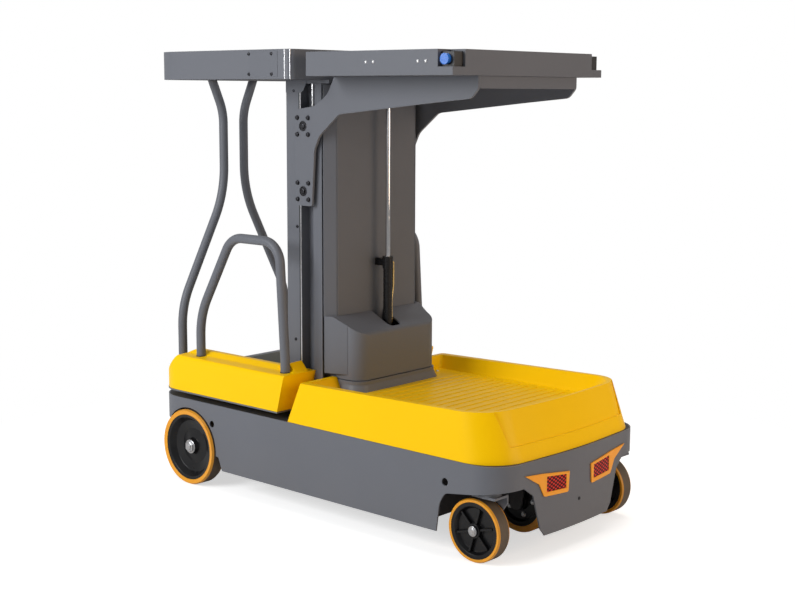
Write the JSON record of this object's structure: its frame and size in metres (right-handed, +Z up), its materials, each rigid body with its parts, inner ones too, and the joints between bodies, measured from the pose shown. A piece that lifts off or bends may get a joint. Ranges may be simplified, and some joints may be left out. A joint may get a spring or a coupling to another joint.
{
  "type": "order picker truck",
  "caption": "Self-propelled order picker truck with a telescopic mast, an operator's platform in a guard ring, a powered load tray and a yellow load deck.",
  "frame": {"origin": "on the floor under the middle of the whole truck", "axes": "+X forward towards the load deck, +Y to the truck's left, +Z up"},
  "size_m": [1.5932, 0.78, 1.507],
  "materials": {
    "grey_paint": "satin powder coat",
    "grey_moulding": "satin",
    "dark_frame": "satin paint",
    "yellow_moulding": "gloss",
    "lamp_yellow": "gloss paint",
    "red_lens": "faceted reflector",
    "battery_case": "matt",
    "mast_aluminium": "extruded",
    "orange_tread": "polyurethane",
    "black_wheel": "black paint",
    "black_steel": "semi-gloss black",
    "chrome_rod": "hard chrome",
    "brass_pipe": "bright",
    "floor_rubber": "ribbed",
    "black_plastic": "matt",
    "blue_plastic": "gloss",
    "roller_steel": "machined"
  },
  "bodies": {
    "root": {"chassis_shell": "grey_paint", "chassis_frame": "dark_frame", "battery_block": "battery_case", "rear_axle": "dark_frame", "load_deck": "yellow_moulding", "foot_skirt": "grey_moulding", "lamp_frames": "lamp_yellow", "lamp_lenses": "red_lens", "mast_column": "mast_aluminium"},
    "mast_stage_2": {"mast_stage_2": "mast_aluminium"},
    "mast_stage_3": {"mast_stage_3": "mast_aluminium"},
    "lift_carriage": {"mast_rail_right": "grey_paint", "mast_rail_left": "grey_paint", "mast_front_panel": "grey_paint", "mast_back_panel": "grey_paint", "mast_head": "grey_paint", "foot_cover": "grey_moulding", "platform_floor": "grey_paint", "platform_mat": "floor_rubber", "side_cover_right": "yellow_moulding", "side_cover_left": "yellow_moulding", "hoop_right": "grey_paint", "hoop_left": "grey_paint", "back_tube_right": "grey_paint", "back_tube_left": "grey_paint", "guard_ring": "grey_moulding", "console": "grey_moulding", "cylinder_barrel": "black_steel", "oil_pipe": "brass_pipe"},
    "tray_carriage": {"tray_arm_right": "grey_paint", "tray_arm_left": "grey_paint", "tray_crossbar": "grey_paint", "tray_saddle": "grey_paint", "tray_rollers": "roller_steel", "load_tray": "grey_paint", "button_housings": "black_plastic", "stop_buttons": "blue_plastic", "cylinder_rod": "chrome_rod"},
    "steering_wheel": {"steering_wheel": "black_plastic"},
    "drive_fork": {"drive_fork": "dark_frame", "drive_motor": "black_steel"},
    "drive_wheel": {"drive_tyre": "orange_tread", "drive_hub": "black_wheel"},
    "rear_wheel_right": {"rear_tyre_right": "orange_tread", "rear_hub_right": "black_wheel"},
    "caster_right": {"caster_fork_right": "grey_paint"},
    "caster_wheel_right": {"caster_tyre_right": "orange_tread", "caster_hub_right": "black_wheel"},
    "rear_wheel_left": {"rear_tyre_left": "orange_tread", "rear_hub_left": "black_wheel"},
    "caster_left": {"caster_fork_left": "grey_paint"},
    "caster_wheel_left": {"caster_tyre_left": "orange_tread", "caster_hub_left": "black_wheel"}
  },
  "joints": [
    {"name": "mast_lift", "type": "slide", "parent": "root", "child": "mast_stage_2", "axis": [0, 0, 1], "range_m": [0, 0.9]},
    {"name": "mast_lift_2", "type": "slide", "parent": "mast_stage_2", "child": "mast_stage_3", "axis": [0, 0, 1], "range_m": [0, 0.9]},
    {"name": "mast_lift_3", "type": "slide", "parent": "mast_stage_3", "child": "lift_carriage", "axis": [0, 0, 1], "range_m": [0, 0.9]},
    {"name": "tray_lift", "type": "slide", "parent": "lift_carriage", "child": "tray_carriage", "axis": [0, 0, 1], "range_m": [-0.5, 0]},
    {"name": "steering_turn", "type": "hinge", "parent": "lift_carriage", "child": "steering_wheel", "pos_m": [-0.205, 0.19, 1.49], "axis": [0, 0, 1], "continuous": true},
    {"name": "drive_steer", "type": "hinge", "parent": "root", "child": "drive_fork", "pos_m": [0.585, 0, 0.2], "axis": [0, 0, 1], "range_deg": [-90, 90]},
    {"name": "drive_spin", "type": "hinge", "parent": "drive_fork", "child": "drive_wheel", "pos_m": [0.585, 0, 0.105], "axis": [0, 1, 0], "continuous": true},
    {"name": "rear_spin_right", "type": "hinge", "parent": "root", "child": "rear_wheel_right", "pos_m": [-0.599, -0.36, 0.134], "axis": [0, 1, 0], "continuous": true},
    {"name": "caster_swivel_right", "type": "hinge", "parent": "root", "child": "caster_right", "pos_m": [0.703, -0.3265, 0.2], "axis": [0, 0, 1], "continuous": true},
    {"name": "caster_spin_right", "type": "hinge", "parent": "caster_right", "child": "caster_wheel_right", "pos_m": [0.662, -0.3265, 0.097], "axis": [0, 1, 0], "continuous": true},
    {"name": "rear_spin_left", "type": "hinge", "parent": "root", "child": "rear_wheel_left", "pos_m": [-0.599, 0.36, 0.134], "axis": [0, 1, 0], "continuous": true},
    {"name": "caster_swivel_left", "type": "hinge", "parent": "root", "child": "caster_left", "pos_m": [0.703, 0.3265, 0.2], "axis": [0, 0, 1], "continuous": true},
    {"name": "caster_spin_left", "type": "hinge", "parent": "caster_left", "child": "caster_wheel_left", "pos_m": [0.662, 0.3265, 0.097], "axis": [0, 1, 0], "continuous": true}
  ],
  "couplings": [
    {"joint": "mast_lift_2", "follows": "mast_lift", "ratio": 1},
    {"joint": "mast_lift_3", "follows": "mast_lift", "ratio": 1}
  ]
}
